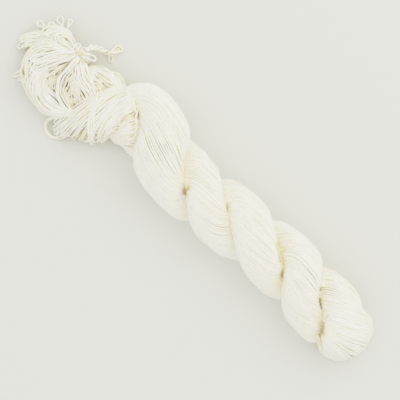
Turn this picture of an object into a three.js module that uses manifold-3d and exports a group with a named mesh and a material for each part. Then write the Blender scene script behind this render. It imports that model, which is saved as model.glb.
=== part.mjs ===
// A hank of wool yarn lying on a table: a two-ply rope of wound yarn folded back on itself at
// one end, with the collar of loops at its neck, a loose tuft beyond the collar, and the tie
// that gathers the tuft. Millimetres, +X along the rope towards its folded end, +Z up, the
// table at z = 0 and the origin under the middle of the hank.
import * as THREE from 'three';
import { mergeVertices } from 'three/addons/utils/BufferGeometryUtils.js';
import Module from 'manifold-3d';

const wasm = await Module();
wasm.setup();

// The two-ply rope
const plyTangent = 19.5;        // half the width of a ply across the rope's radius
const plyRadial = 14.9;         // half its depth along the radius
const plyOffset = 10.8;         // from the rope's axis to the middle of a ply
const ropeStart = -86;          // where the rope comes out of its collar
const ropeEnd = 171.8;          // tip of the folded end
const startDome = 25;           // length over which the rope closes at the collar
const endDome = 21;             // the same at the folded end
const domeTip = 0.16;           // size left at each tip
const foldRound = 46;           // length over which the two plies run together at the fold
const squash = 0.93;            // the rope settles under its own weight
const sectionLean = 1.6;        // its sections lean more than its path where it bends
const ropeHeight = 18.2;        // height of its axis above the table
const ropeSides = 26;
const ropeSteps = 88;
const stepEase = 0.3;           // steps are this much shorter at the two ends

// Bundles of loose yarn
const bundleSides = 14;
const bundleStepLength = 4.5;
const bundleTip = 0.22;         // size left at each rounded end

// Tie
const bandThick = 1.1;          // half the depth of the wrapped yarns together
const bandWide = 2.0;           // half their width side by side
const bandSides = 8;
const bandSteps = 24;
const neckWide = 6.2;           // half the width of the gathered neck inside the band
const neckHigh = 8.8;
const neckPlace = new THREE.Vector3(-127.5, 20, 11.6);
const knotRadius = 3.2;
const knotPlace = new THREE.Vector3(-127.3, 20.6, 23.2);
const tailRadius = 2.2;
const tailSides = 8;
const tailSteps = 12;
const tipKnotRadius = 2.9;
const tipKnotPlace = new THREE.Vector3(-110.3, 40.9, 3);
const clearance = 0.3;

const materials = {
  wool: { color: 0xf0eedd, roughness: 0.95, metalness: 0 },
  tieWool: { color: 0xf2f0e2, roughness: 0.95, metalness: 0 },
};

// Sections of the rope: its side-to-side place, how far its plies have turned, and its size
const ropeSections = [
  { along: -90, side: 14.0, turn: -80, size: 1.0 },
  { along: -78, side: 15.6, turn: -38, size: 1.0 },
  { along: -66, side: 16.0, turn: 0, size: 1.0 },
  { along: -52, side: 13.8, turn: 42, size: 1.04 },
  { along: -37, side: 8.8, turn: 90, size: 1.12 },
  { along: -22, side: 4.2, turn: 138, size: 1.03 },
  { along: -9, side: 2.2, turn: 180, size: 0.97 },
  { along: 12, side: 2.4, turn: 270, size: 0.98 },
  { along: 33, side: 4.6, turn: 360, size: 1.0 },
  { along: 59, side: 5.4, turn: 450, size: 0.99 },
  { along: 84.5, side: 6.8, turn: 540, size: 0.99 },
  { along: 104.5, side: 5.2, turn: 630, size: 1.01 },
  { along: 124.5, side: 3.9, turn: 720, size: 1.02 },
  { along: 145, side: 1.8, turn: 806, size: 1.04 },
  { along: 160, side: 0.6, turn: 852, size: 1.0 },
  { along: 172, side: 0.6, turn: 880, size: 1.0 },
];

// Bundles: the middle, half width and half height of each section, from end to end
const bundles = {
  collar: [
    { x: -79, y: 21, z: 13, wide: 9.5, high: 10 },
    { x: -81, y: 12, z: 15.5, wide: 14, high: 16.5 },
    { x: -84, y: 2, z: 16, wide: 16.5, high: 19 },
    { x: -88.5, y: -8, z: 15, wide: 17.5, high: 17.5 },
    { x: -95, y: -17.5, z: 12, wide: 15, high: 13.5 },
    { x: -101, y: -26, z: 8, wide: 10.5, high: 9.5 },
    { x: -104.5, y: -34, z: 5.5, wide: 9, high: 5.5 },
    { x: -106, y: -40.6, z: 4, wide: 7, high: 4 },
  ],
  collarLoops: [
    { x: -80, y: -4, z: 12, wide: 9, high: 12 },
    { x: -83, y: -15, z: 9, wide: 8, high: 9 },
    { x: -86, y: -23, z: 6.5, wide: 6.5, high: 6.5 },
    { x: -87, y: -28.8, z: 4.5, wide: 6, high: 4.5 },
  ],
  leftSweep: [
    { x: -129, y: 14, z: 14, wide: 8, high: 12 },
    { x: -134, y: 9, z: 15, wide: 12, high: 15 },
    { x: -141, y: 0, z: 15, wide: 17.5, high: 15.5 },
    { x: -142, y: -9, z: 13.5, wide: 16, high: 13.5 },
    { x: -136, y: -17.5, z: 11.5, wide: 12.5, high: 11.5 },
    { x: -125, y: -21.8, z: 10, wide: 10, high: 10 },
    { x: -111, y: -19.5, z: 9.5, wide: 9.5, high: 9.5 },
    { x: -101, y: -12, z: 9, wide: 8, high: 9 },
  ],
  rightSweep: [
    { x: -127, y: 14, z: 14, wide: 7, high: 11 },
    { x: -119, y: 8.5, z: 15.5, wide: 9.5, high: 13 },
    { x: -107, y: 3.5, z: 14.5, wide: 12.5, high: 13.5 },
    { x: -94, y: 1, z: 14, wide: 12, high: 13 },
  ],
  pitFloor: [
    { x: -138, y: 0, z: 8, wide: 10, high: 8 },
    { x: -124, y: -8, z: 7.5, wide: 13, high: 7.5 },
    { x: -110, y: -9, z: 6.5, wide: 10, high: 6.5 },
    { x: -97, y: -5, z: 8, wide: 9, high: 8 },
  ],
  upperSweep: [
    { x: -134, y: 9, z: 11, wide: 7, high: 9 },
    { x: -143, y: 15.5, z: 11, wide: 9.5, high: 11 },
    { x: -152, y: 15.5, z: 9.5, wide: 11, high: 9.5 },
    { x: -158, y: 8, z: 8, wide: 8.5, high: 8 },
  ],
  farLeft: [
    { x: -150, y: 11, z: 6.5, wide: 6, high: 6.5 },
    { x: -161, y: 6.5, z: 6.5, wide: 7, high: 6.5 },
    { x: -166.5, y: 0, z: 5, wide: 5.5, high: 5 },
    { x: -164.5, y: -8.2, z: 3.5, wide: 4, high: 3.5 },
  ],
  topLoops: [
    { x: -144, y: 19, z: 7, wide: 7, high: 7 },
    { x: -152, y: 24.5, z: 5, wide: 7, high: 5 },
    { x: -153, y: 32.5, z: 3, wide: 6, high: 3 },
  ],
  cornerLoop: [
    { x: -156, y: 14, z: 5, wide: 6, high: 5 },
    { x: -166, y: 16.8, z: 2.8, wide: 3.5, high: 2.8 },
  ],
  lowLoops: [
    { x: -147, y: -15, z: 6, wide: 6, high: 6 },
    { x: -150.5, y: -25.5, z: 2.6, wide: 3.6, high: 2.6 },
  ],
  behind: [
    { x: -118, y: 11, z: 9, wide: 7, high: 9 },
    { x: -106, y: 18, z: 9, wide: 8.5, high: 9 },
    { x: -96, y: 20, z: 9.5, wide: 8.2, high: 9.5 },
    { x: -84, y: 17, z: 10, wide: 8, high: 10 },
  ],
  neck: [
    { x: -128.1, y: 25.5, z: 9, wide: 7.6, high: 8.6 },
    { x: -127.5, y: 20, z: 11.6, wide: 7.3, high: 9.9 },
    { x: -127.5, y: 11, z: 14, wide: 9, high: 12.5 },
  ],
};

// Route of the tie's free end, from the knot down to the table
const tailRoute = [
  [-126.8, 24.2, 22.0],
  [-126.1, 26.8, 19.8],
  [-124.8, 29.2, 15.8],
  [-122.8, 31.2, 10.8],
  [-120.0, 32.6, 6.4],
  [-117.2, 33.4, 3.6],
  [-114.4, 34.3, 2.4],
  [-112.1, 35.7, 2.2],
  [-110.9, 37.7, 2.2],
].map(([x, y, z]) => new THREE.Vector3(x, y, z));

// Draws a round outline out in even steps, then carries every corner to its own place.
function sweep(sides, steps, place) {
  const corners = [];
  for (let i = 0; i < sides; i += 1) {
    const angle = (2 * Math.PI * i) / sides;
    corners.push(new THREE.Vector2(Math.cos(angle), Math.sin(angle)));
  }
  const options = { steps, depth: 1, bevelEnabled: false };
  const geometry = new THREE.ExtrudeGeometry(new THREE.Shape(corners), options);
  const position = geometry.attributes.position;
  for (let i = 0; i < position.count; i += 1) {
    const angle = Math.atan2(position.getY(i), position.getX(i));
    const point = place(angle, position.getZ(i));
    position.setXYZ(i, point.x, point.y, point.z);
  }
  return weld(geometry);
}

function weld(geometry) {
  geometry.deleteAttribute('normal');
  geometry.deleteAttribute('uv');
  return mergeVertices(geometry, 1e-3);
}

// Size of a section near a rounded end: 0 at the tip, 1 where the dome begins.
function dome(distance, length, tip) {
  const left = THREE.MathUtils.clamp(1 - distance / length, 0, 1);
  return Math.max(Math.sqrt(1 - left * left), tip);
}

// Smooth curve through one column of a table, read at a place in the first column.
function columnReader(rows, key, column) {
  const curve = new THREE.CatmullRomCurve3(
    rows.map((row) => new THREE.Vector3(row[key], row[column], 0)),
  );
  const last = rows.length - 1;
  return (at) => {
    const next = rows.findIndex((row) => row[key] > at);
    const index = next < 0 ? last - 1 : Math.max(next - 1, 0);
    const span = rows[index + 1][key] - rows[index][key];
    const part = THREE.MathUtils.clamp((at - rows[index][key]) / span, 0, 1);
    return curve.getPoint((index + part) / last).y;
  };
}

// Distance from the rope's axis to its surface, seen from the axis at an angle from the plies.
function lobeRadius(angle) {
  const across = Math.abs(Math.cos(angle)) / plyRadial;
  const round = Math.sin(angle) / plyTangent;
  const offset = plyOffset / plyRadial;
  const a = across * across + round * round;
  const b = across * offset;
  return (b + Math.sqrt(b * b + a * (1 - offset * offset))) / a;
}

function makeRope() {
  const side = columnReader(ropeSections, 'along', 'side');
  const turn = columnReader(ropeSections, 'along', 'turn');
  const size = columnReader(ropeSections, 'along', 'size');
  return sweep(ropeSides, ropeSteps, (angle, part) => {
    const eased = part - (stepEase * Math.sin(2 * Math.PI * part)) / (2 * Math.PI);
    const along = THREE.MathUtils.lerp(ropeStart, ropeEnd, eased);
    const closing = Math.min(
      dome(along - ropeStart, startDome, domeTip),
      dome(ropeEnd - along, endDome, domeTip),
    );
    const together = THREE.MathUtils.smoothstep(along, ropeEnd - foldRound, ropeEnd);
    const radius = THREE.MathUtils.lerp(lobeRadius(angle), plyTangent * 1.1, together);
    const reach = radius * size(along) * closing;
    const turned = angle + THREE.MathUtils.degToRad(turn(along));
    const slope = sectionLean * Math.atan2(side(along + 1) - side(along - 1), 2);
    const across = reach * Math.cos(turned);
    const up = reach * Math.sin(turned) * squash;
    return new THREE.Vector3(
      along - across * Math.sin(slope),
      side(along) + across * Math.cos(slope),
      Math.max(ropeHeight + up, 0),
    );
  });
}

// One bundle of loose yarn through its sections, round at both ends and flat on the table.
function makeBundle(rows) {
  const middle = new THREE.CatmullRomCurve3(rows.map((row) => new THREE.Vector3(row.x, row.y, row.z)));
  const half = new THREE.CatmullRomCurve3(rows.map((row) => new THREE.Vector3(row.wide, row.high, 0)));
  const length = middle.getLength();
  const steps = Math.max(6, Math.round(length / bundleStepLength));
  const ends = rows[0].wide;
  return sweep(bundleSides, steps, (angle, part) => {
    const centre = middle.getPoint(part);
    const heading = middle.getTangent(part).setZ(0).normalize();
    const size = half.getPoint(part);
    const closing = dome(Math.min(part, 1 - part) * length, Math.min(ends, length / 4), bundleTip);
    const across = size.x * closing * Math.cos(angle);
    const up = size.y * Math.max(closing, 0.55) * Math.sin(angle);
    return new THREE.Vector3(
      centre.x - heading.y * across,
      centre.y + heading.x * across,
      Math.max(centre.z + up, 0),
    );
  });
}

// The band round the gathered neck: 'extra' is how much wider it is all over than its yarn.
function makeBand(extra) {
  const ring = 20;              // any radius well over the band's own depth
  const profile = [];
  for (let i = 0; i <= bandSides; i += 1) {
    const angle = (2 * Math.PI * (i % bandSides)) / bandSides;
    const out = ring + (bandThick + extra) * Math.cos(angle);
    profile.push(new THREE.Vector2(out, (bandWide + extra) * Math.sin(angle)));
  }
  const geometry = weld(new THREE.LatheGeometry(profile, bandSteps));
  const position = geometry.attributes.position;
  for (let i = 0; i < position.count; i += 1) {
    const x = position.getX(i);
    const z = position.getZ(i);
    const reach = Math.hypot(x, z) - ring + clearance + bandThick;
    const angle = Math.atan2(z, x);
    position.setXYZ(
      i,
      neckPlace.x + (neckWide + reach) * Math.cos(angle),
      neckPlace.y + position.getY(i),
      neckPlace.z + (neckHigh + reach) * Math.sin(angle),
    );
  }
  return geometry;
}

function makeBall(radius, place) {
  const ball = new THREE.SphereGeometry(radius, 12, 8);
  ball.translate(place.x, place.y, place.z);
  return weld(ball);
}

function makeTail() {
  const corners = [];
  for (let i = 0; i < tailSides; i += 1) {
    const angle = (2 * Math.PI * (i + 0.5)) / tailSides;
    corners.push(new THREE.Vector2(tailRadius * Math.cos(angle), tailRadius * Math.sin(angle)));
  }
  const extrudePath = new THREE.CatmullRomCurve3(tailRoute);
  const options = { steps: tailSteps, extrudePath };
  return weld(new THREE.ExtrudeGeometry(new THREE.Shape(corners), options));
}

function toSolid(geometry) {
  const vertProperties = new Float32Array(geometry.attributes.position.array);
  const triVerts = new Uint32Array(geometry.index.array);
  return new wasm.Manifold(new wasm.Mesh({ numProp: 3, vertProperties, triVerts }));
}

function toGeometry(solid) {
  const mesh = solid.getMesh();
  const geometry = new THREE.BufferGeometry();
  geometry.setAttribute('position', new THREE.BufferAttribute(mesh.vertProperties, 3));
  geometry.setIndex(new THREE.BufferAttribute(mesh.triVerts, 1));
  return geometry;
}

function named(name, geometry, material) {
  const mesh = new THREE.Mesh(geometry, new THREE.MeshStandardMaterial(materials[material]));
  mesh.name = name;
  return mesh;
}

function makeHank() {
  let hank = toSolid(makeRope());
  for (const rows of Object.values(bundles)) {
    hank = hank.add(toSolid(makeBundle(rows)));
  }
  hank = hank.subtract(toSolid(makeBand(clearance)));
  return toGeometry(hank.subtract(toSolid(makeBall(knotRadius + clearance, knotPlace))));
}

function makeTie() {
  return toGeometry(toSolid(makeBand(0)).add(toSolid(makeBall(knotRadius, knotPlace))));
}

const group = new THREE.Group();
group.add(named('hank', makeHank(), 'wool'));
group.add(named('tie', makeTie(), 'tieWool'));
group.add(named('tie_end', makeTail(), 'tieWool'));
group.add(named('end_knot', makeBall(tipKnotRadius, tipKnotPlace), 'tieWool'));
export default group;
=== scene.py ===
import math

import bmesh
import bpy
import numpy as np
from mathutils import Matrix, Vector
from mathutils.bvhtree import BVHTree


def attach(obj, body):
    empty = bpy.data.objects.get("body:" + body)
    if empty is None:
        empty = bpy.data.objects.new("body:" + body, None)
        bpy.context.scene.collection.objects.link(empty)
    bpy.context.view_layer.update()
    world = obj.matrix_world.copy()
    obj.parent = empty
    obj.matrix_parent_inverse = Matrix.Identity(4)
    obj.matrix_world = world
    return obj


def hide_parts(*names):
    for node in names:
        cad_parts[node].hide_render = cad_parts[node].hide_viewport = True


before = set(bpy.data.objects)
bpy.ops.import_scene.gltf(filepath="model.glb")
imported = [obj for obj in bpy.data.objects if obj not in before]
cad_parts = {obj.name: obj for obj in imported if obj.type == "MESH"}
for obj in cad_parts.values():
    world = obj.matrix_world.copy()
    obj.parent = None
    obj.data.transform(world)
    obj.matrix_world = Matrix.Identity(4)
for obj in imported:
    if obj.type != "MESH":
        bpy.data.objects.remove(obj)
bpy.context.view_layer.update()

scene = bpy.context.scene
mm = 0.001
rng = np.random.default_rng(11)
print("frame loaded")


# a mesh object at the origin, from a bmesh
def addMesh(name, bm):
    mesh = bpy.data.meshes.new(name)
    bm.to_mesh(mesh)
    bm.free()
    obj = bpy.data.objects.new(name, mesh)
    scene.collection.objects.link(obj)
    return obj


# camera, light and table

camera = {
    "height": 1.15, "field": 0.2925, "middle": 0.018,  # the field is as wide as this at the hank's middle
    "sensor": 36.0, "turn": 42.6, "aim": (0.009, 0.0), "clip": (0.05, 10),
}
light = {
    "world": 0.80, "bounces": 32, "softBounces": 28, "gamma": 1.24, "worldColour": (1.0, 1.0, 0.995),
    "keySize": 0.9, "keyPower": 1.2, "keyPlace": (0.10, 0.75, 0.95),
    "fillSize": 1.6, "fillPower": 0.5, "fillPlace": (-0.30, 0.0, 1.5),
}
table = {
    "size": 2.0, "colourLow": (0.845, 0.845, 0.800), "colourHigh": (0.855, 0.855, 0.810),
    "grain": 3.0, "roughness": 0.85, "shine": 0.2,
}


def addCamera():
    data = bpy.data.cameras.new("camera")
    data.sensor_width = camera["sensor"]
    data.lens = camera["sensor"] * (camera["height"] - camera["middle"]) / camera["field"]
    data.clip_start, data.clip_end = camera["clip"]
    obj = bpy.data.objects.new("camera", data)
    obj.location = (*camera["aim"], camera["height"])
    obj.rotation_euler = (0, 0, math.radians(camera["turn"]))  # looks straight down
    scene.collection.objects.link(obj)
    scene.camera = obj


def addLight(name, size, power, place):
    data = bpy.data.lights.new(name, "AREA")
    data.shape = "DISK"
    data.size, data.energy = size, power
    obj = bpy.data.objects.new(name, data)
    obj.location = place
    obj.rotation_euler = (-Vector(place)).to_track_quat("-Z", "Y").to_euler()
    scene.collection.objects.link(obj)


def addWorld():
    world = bpy.data.worlds.new("softRoom")
    world.use_nodes = True
    background = world.node_tree.nodes["Background"]
    background.inputs["Color"].default_value = (*light["worldColour"], 1)
    background.inputs["Strength"].default_value = light["world"]
    scene.world = world
    scene.view_settings.view_transform = "Standard"
    scene.view_settings.gamma = light["gamma"]
    scene.cycles.max_bounces = light["bounces"]  # pale wool passes light on many times
    scene.cycles.diffuse_bounces = light["softBounces"]


def addTable(material):
    bm = bmesh.new()
    bmesh.ops.create_grid(bm, x_segments=1, y_segments=1, size=table["size"])
    surface = addMesh("table", bm)
    surface.data.materials.append(material)


# materials

wool = {
    # light is the wool's own colour; the warm, deep and dark colours are painted shade for grooves, strand
    # sides, lower layers and pits
    "light": (0.995, 0.994, 0.965), "warmShade": (0.972, 0.925, 0.730), "paintedShade": (0.890, 0.790, 0.490),
    "pitShadow": (0.420, 0.280, 0.120),
    "grooveShade": 0.06, "toneSpread": 0.12, "flankShade": 0.46,
    "plies": 3.0, "plyPitch": 0.46, "rounding": 0.6, "twistHeight": 0.16, "twistDepth": 0.0006,
    "fibreAlong": 6.0, "fibreAround": 9.0, "fibreDetail": 3.0, "fibreHeight": 0.08, "fibreDepth": 0.0004,
    "roughness": 0.9, "shine": 0.25,
    "sheen": 0.3, "sheenRoughness": 0.6, "sheenTint": (1.0, 0.98, 0.92),
}


def newMaterial(name):
    material = bpy.data.materials.new(name)
    material.use_nodes = True
    return material, material.node_tree, material.node_tree.nodes["Principled BSDF"]


# gives a node's inputs their values, or links them to sockets
def feed(node, inputs):
    for name, value in inputs.items():
        if isinstance(value, bpy.types.NodeSocket):
            node.id_data.links.new(value, node.inputs[name])
        else:
            node.inputs[name].default_value = value


def addNode(tree, kind, inputs=None, **settings):
    node = tree.nodes.new("ShaderNode" + kind)
    for name, value in settings.items():
        setattr(node, name, value)
    feed(node, inputs or {})
    return node.outputs


# colours at their places from 0 to 1
def addRamp(tree, amount, colours):
    node = tree.nodes.new("ShaderNodeValToRGB")
    elements = node.color_ramp.elements
    for place, _ in colours[1:-1]:
        elements.new(place)
    for element, (_, colour) in zip(elements, colours):
        element.color = (*colour, 1)
    feed(node, {"Fac": amount})
    return node.outputs["Color"]


# a soft mottle between two colours
def mottledMaterial(name, look):
    material, tree, shader = newMaterial(name)
    noise = addNode(tree, "TexNoise", {"Vector": addNode(tree, "TexCoord")["Object"], "Scale": look["grain"]})
    colour = addRamp(tree, noise["Fac"], [(0, look["colourLow"]), (1, look["colourHigh"])])
    feed(shader, {"Base Color": colour, "Roughness": look["roughness"], "Specular IOR Level": look["shine"]})
    return material


# three plies wind round each yarn; painted shade turns its colour warm and darker in the grooves, on its
# sides and down between the strands
def woolMaterial(name):
    material, tree, shader = newMaterial(name)

    def combine(kind, a, b):
        return addNode(tree, "Math", {0: a, 1: b}, operation=kind)[0]

    def attribute(label):
        return addNode(tree, "Attribute", attribute_name=label)["Fac"]

    split = addNode(tree, "SeparateXYZ", {0: addNode(tree, "UVMap", uv_map="strandUV")["UV"]})
    along = combine("DIVIDE", split["X"], wool["plyPitch"])
    phase = combine("ADD", along, combine("MULTIPLY", split["Y"], wool["plies"]))
    ply = combine("MULTIPLY", combine("PINGPONG", phase, 0.5), 2.0)
    rounded = combine("POWER", ply, wool["rounding"])
    fibreAlong = combine("MULTIPLY", split["X"], wool["fibreAlong"])
    fibreAround = combine("MULTIPLY", phase, wool["fibreAround"])
    fibrePlace = addNode(tree, "CombineXYZ", {"X": fibreAlong, "Y": fibreAround})
    fibre = addNode(tree, "TexNoise", {"Vector": fibrePlace[0], "Scale": 1.0, "Detail": wool["fibreDetail"]})
    # painted shade in the grooves between the plies
    grooveShade = combine("SUBTRACT", 1.0, rounded)
    flankShade = attribute("flankShade")  # painted shade: 0 on a strand's outer side, 1 between it and its neighbours
    # painted shade for yarns that lie deep among the others and beside the pits
    amount = attribute("paintedShade")
    for value, share in ((grooveShade, "grooveShade"), (flankShade, "flankShade"), (attribute("tone"), "toneSpread")):
        amount = combine("ADD", amount, combine("MULTIPLY", value, wool[share]))
    # painted shade: an amount of 1 is half way along the ramp, of 2 the painted shadow of a pit
    ramp = [(0, wool["light"]), (0.25, wool["warmShade"]), (0.5, wool["paintedShade"]), (1, wool["pitShadow"])]
    colour = addRamp(tree, combine("MULTIPLY", amount, 0.5), ramp)
    fine = addNode(tree, "Bump", {
        "Strength": wool["fibreHeight"], "Distance": wool["fibreDepth"], "Height": fibre["Fac"],
    })
    bump = addNode(tree, "Bump", {
        "Strength": wool["twistHeight"], "Distance": wool["twistDepth"], "Height": rounded,
        "Normal": fine["Normal"],
    })
    feed(shader, {
        "Base Color": colour, "Normal": bump["Normal"], "Roughness": wool["roughness"],
        "Specular IOR Level": wool["shine"], "Sheen Weight": wool["sheen"],
        "Sheen Roughness": wool["sheenRoughness"], "Sheen Tint": (*wool["sheenTint"], 1),
    })
    return material


# the solid of the hank, as a guide for its strands

def solidOf(node):
    bm = bmesh.new()
    bm.from_mesh(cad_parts[node].data)
    bmesh.ops.remove_doubles(bm, verts=bm.verts, dist=1e-5)
    return bm


hankSolid = solidOf("hank")
hankTree = BVHTree.FromBMesh(hankSolid)
hankSolid.free()


# curves and yarn; every route is in millimetres

yarn = {
    "radius": 0.80, "looseRadius": 0.73, "sides": 6, "fewest": 4, "gap": 2.0, "looseGap": 1.3,
    "swell": 0.05, "swellRate": 0.7, "swellShift": 40, "facing": (-0.4, 0.98), "everyNormal": 3,
}


def smoothRoute(points, perSpan=8):
    points = np.asarray(points, float)
    ends = np.concatenate([2 * points[:1] - points[1:2], points, 2 * points[-1:] - points[-2:-1]])
    t = np.linspace(0, 1, perSpan, endpoint=False).reshape([-1] + [1] * (points.ndim - 1))
    parts = []
    for a, b, c, d in zip(ends[:-3], ends[1:-2], ends[2:-1], ends[3:]):
        parts.append(0.5 * (2 * b + (c - a) * t + (2 * a - 5 * b + 4 * c - d) * t**2
                            + (3 * b - a - 3 * c + d) * t**3))
    return np.concatenate(parts + [points[-1:]])


def lengthsAlong(points):
    return np.r_[0, np.cumsum(np.linalg.norm(np.diff(points, axis=0), axis=1))]


def resample(points, count):
    lengths = lengthsAlong(points)
    at = np.linspace(0, lengths[-1], count)
    return np.stack([np.interp(at, lengths, points[:, k]) for k in range(points.shape[1])], axis=1)


def unit(vectors):
    return vectors / np.maximum(np.linalg.norm(vectors, axis=1, keepdims=True), 1e-6)


def step(at, start, end):
    t = np.clip((at - start) / (end - start), 0, 1)
    return t * t * (3 - 2 * t)


# three-point smoothing between fixed ends
def relax(points, passes):
    for _ in range(passes):
        points[1:-1] = (points[:-2] + 2 * points[1:-1] + points[2:]) / 4


def keepAbove(points, low):
    points[:, 2] = np.maximum(points[:, 2], low)
    return points


# slow random wandering: one row for each strand, read at even places along it
def wander(rows, places, reach, waves):
    knots = rng.normal(0, 1, (rows, int(waves) + 3))
    at = np.linspace(0, knots.shape[1] - 1.001, places)
    i = at.astype(int)
    t = at - i
    t = t * t * (3 - 2 * t)
    return reach * (knots[:, i] * (1 - t) + knots[:, i + 1] * t)


# one yarn: its route, how much painted shade it takes for lying deep, its thickness and how far painted shade
# darkens its sides
def strand(points, paintedShade=0.0, swell=1.0, flankShade=1.0):
    points = np.asarray(points, float)
    return {"points": points, "paintedShade": paintedShade, "swell": swell, "flankShade": flankShade, "tone": rng.random()}


# many strands become one mesh, each a closed round tube with its own UVs, tone and painted shade
def yarnPiece(name, strands, material, node, radius=yarn["radius"], gap=yarn["gap"]):
    curve = bpy.data.curves.new(name, "CURVE")
    curve.dimensions = "3D"
    curve.bevel_depth = radius * mm
    curve.bevel_resolution = yarn["sides"] // 2 - 2
    lengths, tones, paintedShades, flankShades, middles, outwards = [], [], [], [], [], []
    for item in strands:
        total = lengthsAlong(item["points"])[-1]
        count = max(yarn["fewest"], int(round(total / gap)) + 1)
        points = resample(item["points"], count)
        even = np.linspace(0, 1, count)
        spline = curve.splines.new("POLY")
        spline.points.add(count - 1)
        spline.points.foreach_set("co", np.c_[points * mm, np.ones(count)].ravel())
        wave = np.sin(np.arange(count) * yarn["swellRate"] + item["tone"] * yarn["swellShift"])
        spline.points.foreach_set("radius", item["swell"] * (1 + yarn["swell"] * wave))
        lengths.append(even * total / 10)  # centimetres along the yarn
        tones.append(np.full(count, item["tone"]))
        flankShades.append(np.full(count, item["flankShade"]))
        middles.append(points)
        every = yarn["everyNormal"]
        normals = [hankTree.find_nearest(Vector(point * mm))[1] for point in points[::every]]
        outwards.append(np.repeat(normals, every, axis=0)[:count])
        # the painted shade along the strand
        paintedShade = np.atleast_1d(item["paintedShade"]).astype(float)
        paintedShades.append(np.interp(even, np.linspace(0, 1, len(paintedShade)), paintedShade))
    source = bpy.data.objects.new(name, curve)
    scene.collection.objects.link(source)
    graph = bpy.context.evaluated_depsgraph_get()
    mesh = bpy.data.meshes.new_from_object(source.evaluated_get(graph))
    bpy.data.objects.remove(source)
    bpy.data.curves.remove(curve)

    def allRound(values):
        return np.repeat(np.concatenate(values), yarn["sides"], axis=0)

    def addAttribute(label, values):
        attribute = mesh.attributes.new(label, "FLOAT", "POINT")
        attribute.data.foreach_set("value", values.astype(np.float32))

    corner = np.zeros(len(mesh.loops), dtype=np.int32)
    mesh.loops.foreach_get("vertex_index", corner)
    layer = mesh.uv_layers[0]
    uv = np.zeros(len(mesh.loops) * 2)
    layer.data.foreach_get("uv", uv)
    uv = uv.reshape(-1, 2)
    uv[:, 0] = allRound(lengths)[corner]
    layer.data.foreach_set("uv", uv.ravel())
    layer.name = "strandUV"
    addAttribute("tone", allRound(tones))
    addAttribute("paintedShade", allRound(paintedShades))
    # painted shade on the sides of each yarn that face away from the hank's outside
    places = np.zeros(len(mesh.vertices) * 3)
    mesh.vertices.foreach_get("co", places)
    away = unit(places.reshape(-1, 3) / mm - allRound(middles))
    facing = np.sum(away * allRound(outwards), axis=1)
    addAttribute("flankShade", (1 - step(facing, *yarn["facing"])) * allRound(flankShades))
    bm = bmesh.new()
    bm.from_mesh(mesh)
    bmesh.ops.holes_fill(bm, edges=[e for e in bm.edges if e.is_boundary], sides=yarn["sides"] + 2)
    bm.to_mesh(mesh)
    bm.free()
    mesh.materials.clear()
    mesh.materials.append(material)
    mesh.shade_smooth()
    mesh.name = name
    obj = bpy.data.objects.new(name, mesh)
    scene.collection.objects.link(obj)
    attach(obj, "root")
    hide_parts(node)
    print(name, "strands", len(strands), "triangles", sum(len(p.vertices) - 2 for p in mesh.polygons))
    return obj


# places where the seams between plies open: middle, half length along the seam, half width, depth,
# and how far the yarns there are drawn together
pits = [
    (-4, -2, 4.5, 2.4, 7, 0.45), (27.5, 9.5, 5.5, 2.4, 6, 0.3), (79, 8.5, 7, 2.0, 4.5, 0.2),
    (89, 1, 6, 2.0, 4.5, 0.2), (120, 8.0, 10, 2.8, 10, 0.1), (134, -5.0, 7, 2.0, 3, 0.1),
    (139.5, -10, 4, 2.2, 5, 0.65), (144, -16, 4, 2.0, 3, 0.0), (-81, 21.5, 3.5, 2.6, 2.5, 0.0),
    (-66, 14.5, 5, 2.2, 5, 0.0),
]
seams = {
    "slope": math.radians(-48), "openHeights": (9, 14),
    "gatherLong": 12.0, "gatherWide": 8.0, "gatherAcross": 2.4, "gatherHeights": (12, 20),
    "shade": 1.6, "shadeDepth": 6, "shadeAcross": 1.8, "shadeHeights": (5, 9),
}


# for each pit, how far each point lies along and across it, and the pit's own values
def nearPits(points):
    seam = np.array([math.cos(seams["slope"]), math.sin(seams["slope"])])
    for x, y, long, wide, depth, gather in pits:
        away = points[:, :2] - (x, y)
        yield away @ seam / long, away @ (-seam[1], seam[0]) / wide, depth, gather, long, seam


# sinks a route into the pits that it crosses, and draws it to their middles
def openSeams(points, extra=0.0, gathered=1.0, share=1.0):
    for along, across, depth, gather, long, seam in nearPits(points):
        farAlong = along * long / seams["gatherLong"]
        farAcross = across * seams["gatherAcross"] / seams["gatherWide"]
        pull = gathered * gather * np.exp(-farAlong**2 - farAcross**2)
        pull *= step(points[:, 2], *seams["gatherHeights"])
        points[:, :2] -= np.outer(pull * along * long, seam)
        near = np.clip(1 - (along * (1 - pull))**2 - across**2, 0, 1) ** 2
        near = near * step(points[:, 2], *seams["openHeights"])
        points[:, 2] -= near * (depth * share + extra)
    return points


# how dark a route turns beside the pits
def pitShade(points):
    shades = [depth / seams["shadeDepth"] * np.exp(-along**2 - (across * seams["shadeAcross"])**2)
              for along, across, depth, *_ in nearPits(points)]
    return seams["shade"] * np.max(shades, axis=0) * step(points[:, 2], *seams["shadeHeights"])


# the heart of the hank: its solid, drawn in a little, whose amber is painted shade that shows between the
# strands
heart = {
    "inset": 1.8, "endInset": 2.5, "foldEnd": (118, 126), "tuftEnd": (150, 158), "hollow": 2.5,
    "fineAbove": 0.012, "fineFrom": -0.09, "deeper": 3.0, "low": 0.0004,
    "dip": 3.5, "dipPlace": (137, -7), "dipSize": (7, 8), "dipHeights": (10, 18),
    "ringsAcross": (23, 30), "ringsAlong": (135, 142), "ringsClear": 8,
    "loopsAcross": (24, 34), "loopsAlong": (90, 96), "loopsTo": (-97, -22, 3), "loopsClear": 0.8,
    # painted shade: the heart's amber colours stand in for the shade between the strands
    "colourLow": (0.88, 0.78, 0.50), "colourHigh": (0.93, 0.85, 0.60),
    "grain": 900, "roughness": 0.95, "shine": 0.1,
}


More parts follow.
